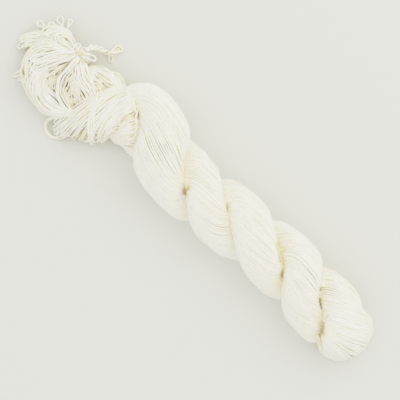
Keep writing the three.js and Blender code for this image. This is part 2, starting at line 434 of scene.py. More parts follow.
def makeHeart(material):
    bm = solidOf("hank")
    bm.normal_update()
    starts = [(edge, edge.verts[0].co) for edge in bm.edges]
    upper = [edge for edge, co in starts if co.z > heart["fineAbove"] and co.x > heart["fineFrom"]]
    bmesh.ops.subdivide_edges(bm, edges=upper, cuts=1, use_grid_fill=True)
    bmesh.ops.triangulate(bm, faces=bm.faces)
    bm.normal_update()
    inside = []
    for vert in bm.verts:  # hollows are drawn in further
        rises = [vert.normal.dot(edge.other_vert(vert).co - vert.co) for edge in vert.link_edges]
        hollow = np.mean(rises) / mm
        nearEnd = step(vert.co.x / mm, *heart["foldEnd"]) + step(-vert.co.x / mm, *heart["tuftEnd"])
        inset = heart["inset"] + (heart["endInset"] - heart["inset"]) * nearEnd
        inside.append(vert.co / mm - vert.normal * (inset + heart["hollow"] * max(hollow, 0)))
    inside = np.array(inside)
    openSeams(inside, heart["deeper"])
    away = (inside[:, :2] - heart["dipPlace"]) / heart["dipSize"]
    nearFold = np.exp(-away[:, 0]**2 - away[:, 1]**2)
    inside[:, 2] -= heart["dip"] * nearFold * step(inside[:, 2], *heart["dipHeights"])
    clear = step(inside[:, 1], *heart["ringsAcross"]) * step(-inside[:, 0], *heart["ringsAlong"])
    inside[:, 1] -= clear * heart["ringsClear"]  # only rings stand out there
    clear = step(-inside[:, 1], *heart["loopsAcross"]) * step(-inside[:, 0], *heart["loopsAlong"])
    toLoops = np.array(heart["loopsTo"]) - inside  # and only loops there
    inside += clear[:, None] * toLoops * heart["loopsClear"]
    underCollar(inside)
    for vert, place in zip(bm.verts, inside):
        vert.co = place * mm
        vert.co.z = max(vert.co.z, heart["low"])
    piece = addMesh("heart", bm)
    piece.data.materials.append(material)
    piece.data.shade_smooth()
    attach(piece, "root")
    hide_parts("hank")


laying = {"above": 0.1, "reach": 9, "upright": 0.3, "held": (7, 12), "passes": 8}


# lays a route on the hank's form, 'sink' millimetres under its surface; low ends keep their own heights
def lay(points, sink):
    sink = np.broadcast_to(sink, len(points))
    out = np.empty_like(points)
    for i, point in enumerate(points):
        above = Vector((point[0] * mm, point[1] * mm, laying["above"]))
        place, normal, _, _ = hankTree.ray_cast(above, Vector((0, 0, -1)))
        if place is None or abs(place.z / mm - point[2]) > laying["reach"] or normal.z < laying["upright"]:
            place, normal, _, _ = hankTree.find_nearest(Vector(point * mm))
        out[i] = np.array(place) / mm - np.array(normal) * sink[i]
    held = step(points[:, 2], *laying["held"])[:, None]
    out = points + (out - points) * held
    relax(out, laying["passes"])
    return keepAbove(out, yarn["radius"])


turns = {"narrowest": 1.15, "eased": 6, "ahead": 3, "arc": 9}


# joins two strands in a turn at their far ends
def turned(a, b, cut):
    a, b = a[:len(a) - cut].copy(), b[:len(b) - cut].copy()
    half = (b[-1] - a[-1]) / 2
    wide = max(np.linalg.norm(half), 1e-6)
    spare = half / wide * (max(wide, turns["narrowest"]) - wide)
    eased, back = turns["eased"], turns["ahead"] + 1
    ease = np.linspace(0, 1, eased + 1)[1:, None] ** 2
    a[-eased:] -= spare * ease
    b[-eased:] += spare * ease
    half = (b[-1] - a[-1]) / 2
    ahead = a[-1] - a[-back] + b[-1] - b[-back]
    ahead *= np.linalg.norm(half) / np.linalg.norm(ahead)
    turn = np.linspace(0, math.pi, turns["arc"])[1:-1, None]
    arc = (a[-1] + b[-1]) / 2 - half * np.cos(turn) + ahead * np.sin(turn)
    return np.concatenate([a, arc, b[::-1]])


spreading = {
    "between": 12, "jitter": 0.15, "stagger": 0.5, "dive": 2.5, "loopDive": 0.3, "diveShare": 0.12,
    "swayWaves": 9, "looseShare": 0.6, "looseWaves": 8, "cut": (0, 4),
}


# strands spread between guide routes, laid on the form or left free of it;
# with loops, each pair turns back at its far end
def family(guides, count, sink, loose, sway, dive=(spreading["dive"], spreading["dive"]), paintedShade=0.0,
           loops=False, places=44, shift=0.0, flankShade=1.0, free=False):
    between, jitter = spreading["between"], spreading["jitter"]
    sheet = smoothRoute(np.array([resample(smoothRoute(guide), places) for guide in guides]), between)
    side = wander(count, places, sway * (len(guides) - 1) / count, places / spreading["swayWaves"])
    out = wander(count, places, loose * spreading["looseShare"], places / spreading["looseWaves"])
    even = np.linspace(0, 1, places)
    starting = np.clip(1 - even / spreading["diveShare"], 0, 1) ** 2
    ending = np.clip(1 - (1 - even) / spreading["diveShare"], 0, 1) ** 2
    under = dive[0] * starting + dive[1] * ending
    rows = np.arange(places)
    lanes = []
    for k in range(count):
        lane = (k + 0.5 + shift + rng.uniform(-jitter, jitter)) / count * (len(sheet) - 1)
        at = np.clip(lane + side[k] * between, 0, len(sheet) - 1.001)
        i = at.astype(int)
        t = (at - i)[:, None]
        points = sheet[i, rows] * (1 - t) + sheet[i + 1, rows] * t
        depth = sink + out[k] + under + spreading["stagger"] * (k % 2)
        lanes.append(points - np.outer(depth, (0, 0, 1)) if free else lay(points, depth))
    if loops:
        lanes = [turned(a, b, rng.integers(*spreading["cut"])) for a, b in zip(lanes[::2], lanes[1::2])]
    return [strand(points, paintedShade, 1.0, flankShade) for points in lanes]


# the two plies of the rope

rope = {
    "tangent": 19.5, "radial": 14.9, "offset": 10.8, "start": -86.0, "end": 171.8,
    "startDome": 25.0, "squash": 0.93, "height": 18.2, "lean": 1.6,
    "strands": 60, "innerStrands": 56, "outerCirculation": 1.32, "innerCirculation": 0.42,
    "sideways": 0.008, "sidewaysWaves": 6, "inAndOut": 0.015, "inAndOutWaves": 9, "gap": 1.2,
    "plyHalf": 17, "tip": 0.02, "insideShade": 0.12, "insideFrom": (1.9, 2.7),
    # the inner layer of yarns takes painted shade
    "innerDepth": 0.945, "innerPaintedShade": 0.2, "innerGap": 2.6,
    "underFold": 0.11, "foldLength": 10, "closing": 0.4, "closingFrom": (142, 156), "short": 14,
    # each ply's name, its turn and where it goes under the fold
    "plies": [("ropePlyOne", 0.0, 102), ("ropePlyTwo", math.pi, 138)],
}
ropeSections = np.array([
    # along, side, turn, size
    (-90, 14.0, -80, 1.0),
    (-78, 15.6, -38, 1.0),
    (-66, 16.0, 0, 1.0),
    (-52, 13.8, 42, 1.04),
    (-37, 8.8, 90, 1.12),
    (-22, 4.2, 138, 1.03),
    (-9, 2.2, 180, 0.97),
    (12, 2.4, 270, 0.98),
    (33, 4.6, 360, 1.0),
    (59, 5.4, 450, 0.99),
    (84.5, 6.8, 540, 0.99),
    (104.5, 5.2, 630, 1.01),
    (124.5, 3.9, 720, 1.02),
    (145, 1.8, 784, 1.04),
    (160, 0.6, 852, 1.0),
    (172, 0.6, 880, 1.0),
])


# smooth reading of one column of the rope's table
def columnReader(column):
    x, y = ropeSections[:, 0], ropeSections[:, column]
    slope = np.gradient(y, x)

    def read(at):
        i = np.clip(np.searchsorted(x, at) - 1, 0, len(x) - 2)
        h = x[i + 1] - x[i]
        t = np.clip((at - x[i]) / h, 0, 1)
        return ((2 * t**3 - 3 * t**2 + 1) * y[i] + (t**3 - 2 * t**2 + t) * h * slope[i]
                + (3 * t**2 - 2 * t**3) * y[i + 1] + (t**3 - t**2) * h * slope[i + 1])
    return read


ropeSide, ropeTurn, ropeSize = (columnReader(k) for k in (1, 2, 3))


# a place in a ply: how far along the rope, across the ply and outward in it
def ropePoint(along, plyTurn, across, outward):
    turn = np.radians(ropeTurn(along)) + plyTurn
    opening = np.clip(1 - (along - rope["start"]) / rope["startDome"], 0, 1)
    closing = np.sqrt(np.clip(1 - opening**2, rope["tip"], 1))
    size = ropeSize(along) * closing
    radial = (rope["offset"] + rope["radial"] * outward) * size
    tangential = rope["tangent"] * across * size
    side = radial * np.cos(turn) - tangential * np.sin(turn)
    up = (radial * np.sin(turn) + tangential * np.cos(turn)) * rope["squash"]
    slope = rope["lean"] * np.arctan((ropeSide(along + 1) - ropeSide(along - 1)) / 2)
    return np.stack([along - side * np.sin(slope), ropeSide(along) + side * np.cos(slope),
                     rope["height"] + up], axis=-1)


# no yarn goes through the table: what would is pressed flat on it
def pressFlat(points):
    low, soft = yarn["radius"], 2.0
    z = points[..., 2]
    points[..., 2] = np.where(z > low + soft, z, low + soft * np.exp((z - low - soft) / soft))
    return points


# where the collar lies over the rope: what is beyond its edge sinks under it
overlap = {
    "edge": [(-90, 21.5), (-72, 20), (-66, 15), (-61, 10), (-56, 3), (-52, -4), (-48, -8.5)],
    "width": 5, "from": (47, 56), "sink": 2.8, "moreSink": 2.3, "moreFrom": (62, 70), "heights": (9, 15),
}


def underCollar(points):
    x, y, z = points.T
    beyond = step(np.interp(x, *zip(*overlap["edge"])) - y, 0, overlap["width"]) * step(-x, *overlap["from"])
    sink = overlap["sink"] + overlap["moreSink"] * step(-x, *overlap["moreFrom"])
    points[:, 2] -= beyond * sink * step(z, *overlap["heights"])
    return points


# the yarns of a ply go round inside it as it turns, so that each comes to its outside in turn
def ropeStrands(plyTurn, count, depth, paintedShade, foldStart):
    along = np.arange(rope["start"] + 1, rope["end"] - rope["short"], rope["gap"])
    turn = np.radians(ropeTurn(along) - ropeTurn(rope["start"]))
    outer, inner = rope["outerCirculation"], rope["innerCirculation"]
    rate = math.sqrt((outer + inner) ** 2 - inner**2)
    squeeze = math.sqrt(outer / (outer + 2 * inner))
    sideways = wander(count, len(along), rope["sideways"], rope["sidewaysWaves"])
    rise = wander(count, len(along), rope["inAndOut"], rope["inAndOutWaves"])
    strands = []
    for k in range(count):
        phase = 2 * math.pi * k / count - rate * turn + sideways[k]
        around = 2 * np.arctan2(squeeze * np.sin(phase / 2), np.cos(phase / 2))
        reach = depth * (1 - yarn["radius"] / rope["plyHalf"]) + rise[k]
        reach = reach - rope["underFold"] * step(along, foldStart, foldStart + rope["foldLength"])
        reach = reach - rope["closing"] * step(along, *rope["closingFrom"])
        points = ropePoint(along, plyTurn, reach * np.sin(around), reach * np.cos(around))
        # painted shade on the side of each ply that faces the other ply
        inside = step(np.abs((around + math.pi) % (2 * math.pi) - math.pi), *rope["insideFrom"])
        points = pressFlat(openSeams(underCollar(points)))
        strands.append(strand(points, paintedShade + rope["insideShade"] * inside + pitShade(points)))
    return strands


def makeRope(material):
    for label, plyTurn, foldStart in rope["plies"]:
        yarnPiece(label, ropeStrands(plyTurn, rope["strands"], 1.0, 0.0, foldStart), material, "hank")
        inner = ropeStrands(plyTurn, rope["innerStrands"], rope["innerDepth"], rope["innerPaintedShade"], foldStart)
        yarnPiece(label + "Inner", inner, material, "hank", gap=rope["innerGap"])


# the fold at the rope's end: its yarns fan out of the last seam and go over the end
foldFan = {
    "count": 72, "sink": 0.3, "loose": 0.4, "sway": 0.1, "dive": (3.0, 1.0), "places": 52,
    # the layer underneath takes painted shade
    "underSink": 0.8, "underPaintedShade": 0.2, "openShare": 0.5,
    "guides": [
        [(108, 22, 24), (113, 26, 26), (121, 28.5, 24), (132, 29, 22), (142, 27, 20), (150, 24, 14),
         (154, 20, 5), (150, 18, 1.2)],
        [(112, 17, 28), (119, 22, 32), (129, 24, 32), (141, 24, 30), (152, 22.5, 26), (158, 21.5, 14),
         (158, 19.5, 5), (154, 16, 1.2)],
        [(119, 9, 31), (127, 14, 35), (138, 19, 35), (148, 21, 32), (157, 22, 28), (164, 21, 14),
         (164, 19, 5), (160, 15, 1.2)],
        [(126, 3, 31), (134, 7, 36), (144, 13, 36), (154, 18, 32), (162, 20, 26), (168.5, 18, 13),
         (168, 16, 5), (163, 12, 1.2)],
        [(131, -1, 31), (139, 2, 36), (149, 7, 36), (158, 11, 31), (165, 14, 24), (171.5, 12.5, 12),
         (170, 11, 5), (164, 8, 1.2)],
        [(133, -5, 30), (141, -4, 35), (152, 0, 35), (161, 4, 30), (168, 7, 23), (173, 7, 12), (171, 6, 5),
         (165, 4, 1.2)],
        [(136, -9, 29), (144, -8.5, 34), (155, -7, 33), (162, -5, 28), (168, -3, 21), (172, -3, 11),
         (170.5, -3, 5), (164, -3, 1.2)],
        [(137, -11.5, 27), (145, -12, 31), (153.5, -15, 29), (160.5, -16.8, 22.5), (167, -16.3, 14),
         (168.8, -15.5, 9), (167, -14, 5), (161, -10, 1.2)],
        [(138.5, -14, 24), (145, -15.5, 27), (152, -18.7, 25), (158, -20.7, 18), (162.7, -21, 12),
         (163.8, -20.5, 9), (162, -18.8, 5), (156, -14, 1.2)],
        [(139.5, -16, 18), (144.5, -18.3, 18), (149.5, -21, 15), (154, -22.8, 11), (157, -22.3, 8),
         (157, -20.5, 5), (151, -15, 1.2)],
        [(137, -18.5, 9), (141.5, -20.5, 10), (146, -22, 9.5), (150, -22.5, 7.5), (151.5, -21.5, 5),
         (150, -19.5, 3), (146, -16, 1.2)],
    ],
}


def makeFoldFan(material):
    ways = {name: foldFan[name] for name in ("guides", "count", "loose", "sway", "dive", "places")}
    outer = family(sink=foldFan["sink"], **ways)
    under = family(sink=foldFan["sink"] + foldFan["underSink"], paintedShade=foldFan["underPaintedShade"], shift=0.5, **ways)
    for item in outer + under:
        openSeams(item["points"], gathered=0.0, share=foldFan["openShare"])
        item["paintedShade"] = item["paintedShade"] + pitShade(item["points"])
    yarnPiece("foldEnd", outer + under, material, "hank")


# a coat low on both sides of the fold, under the yarns that go over it, in painted shade
foldSides = {
    "start": 103.0, "end": 167.0, "gap": 2.0, "low": 1.6, "high": 25.0, "spacing": 1.5,
    # painted shade for this coat under the yarns above
    "outside": 80, "passes": 6, "sink": 1.5, "paintedShade": 0.2, "flankShade": 0.6,
}


def makeFoldSides(material):
    strands = []
    for side in (1, -1):
        for height in np.arange(foldSides["low"], foldSides["high"], foldSides["spacing"]):
            points = []
            for x in np.arange(foldSides["start"], foldSides["end"], foldSides["gap"]):
                outside = Vector((x * mm, side * foldSides["outside"] * mm, height * mm))
                place, normal, _, _ = hankTree.ray_cast(outside, Vector((0, -side, 0)))
                if place is not None:
                    points.append(np.array(place - normal * foldSides["sink"] * mm) / mm)
            points = np.array(points)
            relax(points, foldSides["passes"])
            keepAbove(points, yarn["radius"])
            strands.append(strand(points, foldSides["paintedShade"], flankShade=foldSides["flankShade"]))
    yarnPiece("foldSides", strands, material, "hank")


# bundles of loose yarn at the tied end: a first coat of strands all round each of them

bundles = {
    "collar": [(-79, 21, 13, 9.5, 10), (-81, 12, 15.5, 14, 16.5), (-84, 2, 16, 16.5, 19),
               (-88.5, -8, 15, 17, 17.5), (-93, -15, 11.5, 13, 12), (-96, -20, 8, 8, 8)],
    "leftSweep": [(-129, 14, 14, 8, 12), (-134, 9, 15, 12, 15), (-141, 0, 15, 17.5, 15.5),
                  (-142, -9, 13.5, 16, 13.5), (-136, -17.5, 11.5, 12.5, 11.5), (-125, -21.8, 10, 10, 10),
                  (-111, -19.5, 9.5, 9.5, 9.5), (-101, -12, 9, 8, 9)],
    "rightSweep": [(-127, 14, 14, 7, 11), (-119, 8.5, 15.5, 9.5, 13), (-107, 3.5, 14.5, 12.5, 13.5),
                   (-94, 1, 14, 12, 13)],
    "pitFloor": [(-138, 0, 8, 10, 8), (-124, -8, 7.5, 13, 7.5), (-110, -9, 6.5, 10, 6.5),
                 (-97, -5, 8, 9, 8)],
    "upperSweep": [(-134, 9, 11, 7, 9), (-143, 15.5, 11, 9.5, 11), (-152, 15.5, 9.5, 11, 9.5),
                   (-158, 8, 8, 8.5, 8)],
    "farLeft": [(-150, 11, 6.5, 6, 6.5), (-160, 6.5, 6.5, 6.5, 6.5), (-164, 1.5, 4.5, 5, 4.5)],
    "topLoops": [(-143, 18, 7, 7, 7), (-147, 20.5, 6, 7, 6), (-151, 22.5, 4.5, 5.5, 4.5)],
    "behind": [(-118, 11, 9, 7, 9), (-106, 18, 9, 8.5, 9), (-96, 20, 9.5, 8.2, 9.5),
               (-84, 17, 10, 8, 10)],
    "neck": [(-128.1, 25.5, 9, 7.6, 8.6), (-127.5, 20, 11.6, 7.3, 9.9), (-127.5, 11, 14, 9, 12.5)],
}
coat = {
    # the first coat lies under the others and takes painted shade
    "spacing": 1.7, "sink": 2.1, "paintedShade": 0.15, "twist": 25.0,
    "endShare": 0.25, "tip": 0.22, "leastHigh": 0.55, "leastHalf": 0.6,
    "sideways": 0.12, "sidewaysLength": 22, "rise": 0.4, "riseLength": 18,
}


# strands all round one bundle: each row holds its middle, half width and half height
def bundleStrands(rows):
    rows = smoothRoute(rows, perSpan=10)
    middle, half = rows[:, :3], rows[:, 3:]
    lengths = lengthsAlong(middle)
    total = lengths[-1]
    heading = unit(np.gradient(middle[:, :2], axis=0))
    endLength = min(half[0, 0], total * coat["endShare"])
    left = np.clip(1 - np.minimum(lengths, total - lengths) / endLength, 0, 1)
    closing = np.maximum(np.sqrt(1 - left**2), coat["tip"])
    count = int(2 * math.pi * half.mean() / coat["spacing"])
    twist = np.radians(coat["twist"]) * lengths / total
    sideways = wander(count, len(rows), coat["sideways"], total / coat["sidewaysLength"])
    rise = wander(count, len(rows), coat["rise"], total / coat["riseLength"])
    strands = []
    for k in range(count):
        angle = 2 * math.pi * k / count + twist + sideways[k]
        thinner = rise[k] - coat["sink"]
        wide = np.maximum(half[:, 0] * closing + thinner, coat["leastHalf"])
        high = np.maximum(half[:, 1] * np.maximum(closing, coat["leastHigh"]) + thinner, coat["leastHalf"])
        across = wide * np.cos(angle)
        points = np.stack([middle[:, 0] - heading[:, 1] * across, middle[:, 1] + heading[:, 0] * across,
                           middle[:, 2] + high * np.sin(angle)], axis=1)
        strands.append(strand(pressFlat(points), coat["paintedShade"]))
    return strands


def makeFirstCoat(material):
    strands = []
    for rows in bundles.values():
        strands += bundleStrands(rows)
    yarnPiece("tuftFirstCoat", strands, material, "hank")


# the collar: the ply that comes up from behind and spreads over the others, its yarns turning back in loops
collarFamilies = {
    "neckFan": {"count": 18, "sink": 0.1, "calm": 0.25, "guides": [
        [(-66.5, 16.5, 19), (-68.5, 10, 24.5), (-71, 2, 25), (-73, -6, 22), (-74, -12, 17)],
        [(-62.5, 13, 18), (-65.5, 7, 22), (-68.5, 0, 22.5), (-71, -7, 19), (-72.5, -12.5, 12)],
        [(-58.5, 9.5, 18), (-62, 4, 20.5), (-65.5, -2, 20.5), (-69, -8, 15.5), (-71, -12, 10)],
        [(-54.5, 5.5, 18), (-58.5, 0.5, 19.5), (-62.5, -4, 18.5), (-67, -8.5, 13), (-69.5, -11.5, 8)],
        [(-50.5, 1, 17), (-55, -3.5, 18), (-60, -7, 16), (-65, -10, 11), (-68, -11.5, 7)],
        [(-46, -3.5, 15), (-51, -6.8, 15.5), (-57, -9.3, 13), (-62.5, -10.8, 9), (-66, -11.5, 6)],
    ]},
    "collar": {"count": 26, "sink": 0.4, "loops": True, "guides": [
        [(-88, 25, 10), (-93.5, 19.5, 22), (-97, 12, 26), (-100, 3, 27), (-103.5, -7, 25), (-106, -16, 20),
         (-108.5, -24, 13), (-110.5, -31.5, 3.5)],
        [(-87, 26, 10), (-91.5, 20.5, 23), (-95, 13, 29), (-97.5, 3, 30.5), (-100, -7, 29),
         (-102.3, -17, 23), (-104.3, -26, 15), (-106, -34.5, 3.5)],
        [(-85.5, 26.5, 10), (-89.5, 20.5, 23), (-92.5, 13, 31), (-95, 3, 33), (-97, -7, 31.5),
         (-98.8, -17, 26), (-100.2, -27, 16), (-101.5, -37, 3.5)],
        [(-84, 27, 10), (-87, 20.5, 23), (-89.5, 13, 32), (-91.5, 3, 34.5), (-93.2, -7, 32),
         (-94.5, -16, 27), (-95.3, -25, 17), (-96, -34, 3.5)],
        [(-82, 27.5, 10), (-84.3, 20.7, 23), (-86, 13, 32), (-87.3, 3, 34.5), (-88.5, -6.5, 32),
         (-89.5, -14.5, 26), (-90.3, -22, 16), (-91, -29.5, 3.5)],
        [(-80, 27.5, 10), (-81.5, 20.7, 23), (-82.5, 12.5, 31.5), (-83.5, 3, 33.5), (-84, -6, 30.5),
         (-83.8, -13.5, 24), (-83.5, -20.5, 15), (-84, -27.8, 3.5)],
        [(-78, 27.5, 10), (-78.5, 20.5, 23), (-79, 12.5, 31), (-80, 3.5, 32), (-80, -4.5, 28.5),
         (-79, -11.5, 22), (-78.5, -17.5, 14.5), (-79, -23.8, 3.5)],
        [(-75.5, 27, 10), (-75.5, 20.3, 22.5), (-75.8, 12.5, 30), (-76.5, 4, 30.5), (-76.2, -3.5, 26.5),
         (-75.2, -9.5, 20), (-74.8, -14.5, 13.5), (-75, -19.5, 3.5)],
        [(-73, 26.5, 10), (-72, 19.5, 22), (-72.3, 12, 28), (-73.3, 4, 28), (-73, -2.5, 24), (-72, -7.5, 18),
         (-71.5, -11.5, 12), (-72, -15.5, 3.5)],
    ]},
    "collarRight": {"count": 6, "calm": 0.6, "loops": True, "guides": [
        [(-77, 20.5, 23), (-78.5, 12.5, 31), (-80.5, 3, 32.5), (-81, -6, 29), (-79, -13.5, 21),
         (-77, -20.5, 7)],
        [(-73.5, 19, 22), (-74.3, 11, 29.5), (-75.2, 2.5, 30), (-75, -5.5, 25.5), (-73.5, -12, 17.5),
         (-73, -17, 7)],
        [(-70, 16.5, 20), (-70.5, 9.5, 26), (-72.3, 2, 26), (-73.3, -4.5, 22), (-72, -9.5, 16),
         (-71, -13.5, 7)],
    ]},
    "collarCross": {"count": 4, "sink": -0.4, "loops": True, "guides": [
        [(-95.5, 15, 27), (-96.5, 8, 30.5), (-95.5, 0, 33.5), (-92.5, -8.5, 32), (-87.5, -16, 25),
         (-82, -21, 16), (-78.5, -24, 6)],
        [(-93.5, 17, 27), (-94.5, 9, 31.5), (-93.5, 0.8, 34.5), (-90.5, -7.5, 33), (-85.5, -14.8, 26),
         (-80.5, -20.2, 16), (-77.5, -23, 6)],
        [(-91.5, 17.5, 27), (-92.5, 9.5, 32), (-91.5, 1.5, 35), (-88.5, -6.5, 33.5), (-83.5, -13.8, 26.5),
         (-79, -19.3, 16.5), (-76.5, -22, 6)],
    ]},
}


underLayer = {"sink": 1.1, "paintedShade": 0.3, "shift": 0.5, "short": 8}


# each family has a second layer, between and below the strands of the first, in more painted shade
def makeFamilies(families, material, loose, sway, flankShade):
    for name, made in families.items():
        sink, paintedShade, calm = made.get("sink", 0.0), made.get("paintedShade", 0.0), made.get("calm", 1.0)
        loops = made.get("loops", False)
        dive = (spreading["dive"], spreading["loopDive"] if loops else spreading["dive"])
        ways = {"guides": made["guides"], "count": made["count"], "loose": loose * calm, "sway": sway * calm,
                "flankShade": flankShade, "free": made.get("free", False)}
        strands = family(sink=sink, paintedShade=paintedShade, loops=loops, dive=dive, **ways)
        below = family(sink=sink + underLayer["sink"], paintedShade=paintedShade + underLayer["paintedShade"],
                       shift=underLayer["shift"], **ways)
        if loops:  # these end short of the turns
            for item in below:
                item["points"] = item["points"][:-underLayer["short"]]
        yarnPiece(name + "Strands", strands + below, material, "hank", radius=yarn["looseRadius"],
                  gap=yarn["looseGap"])


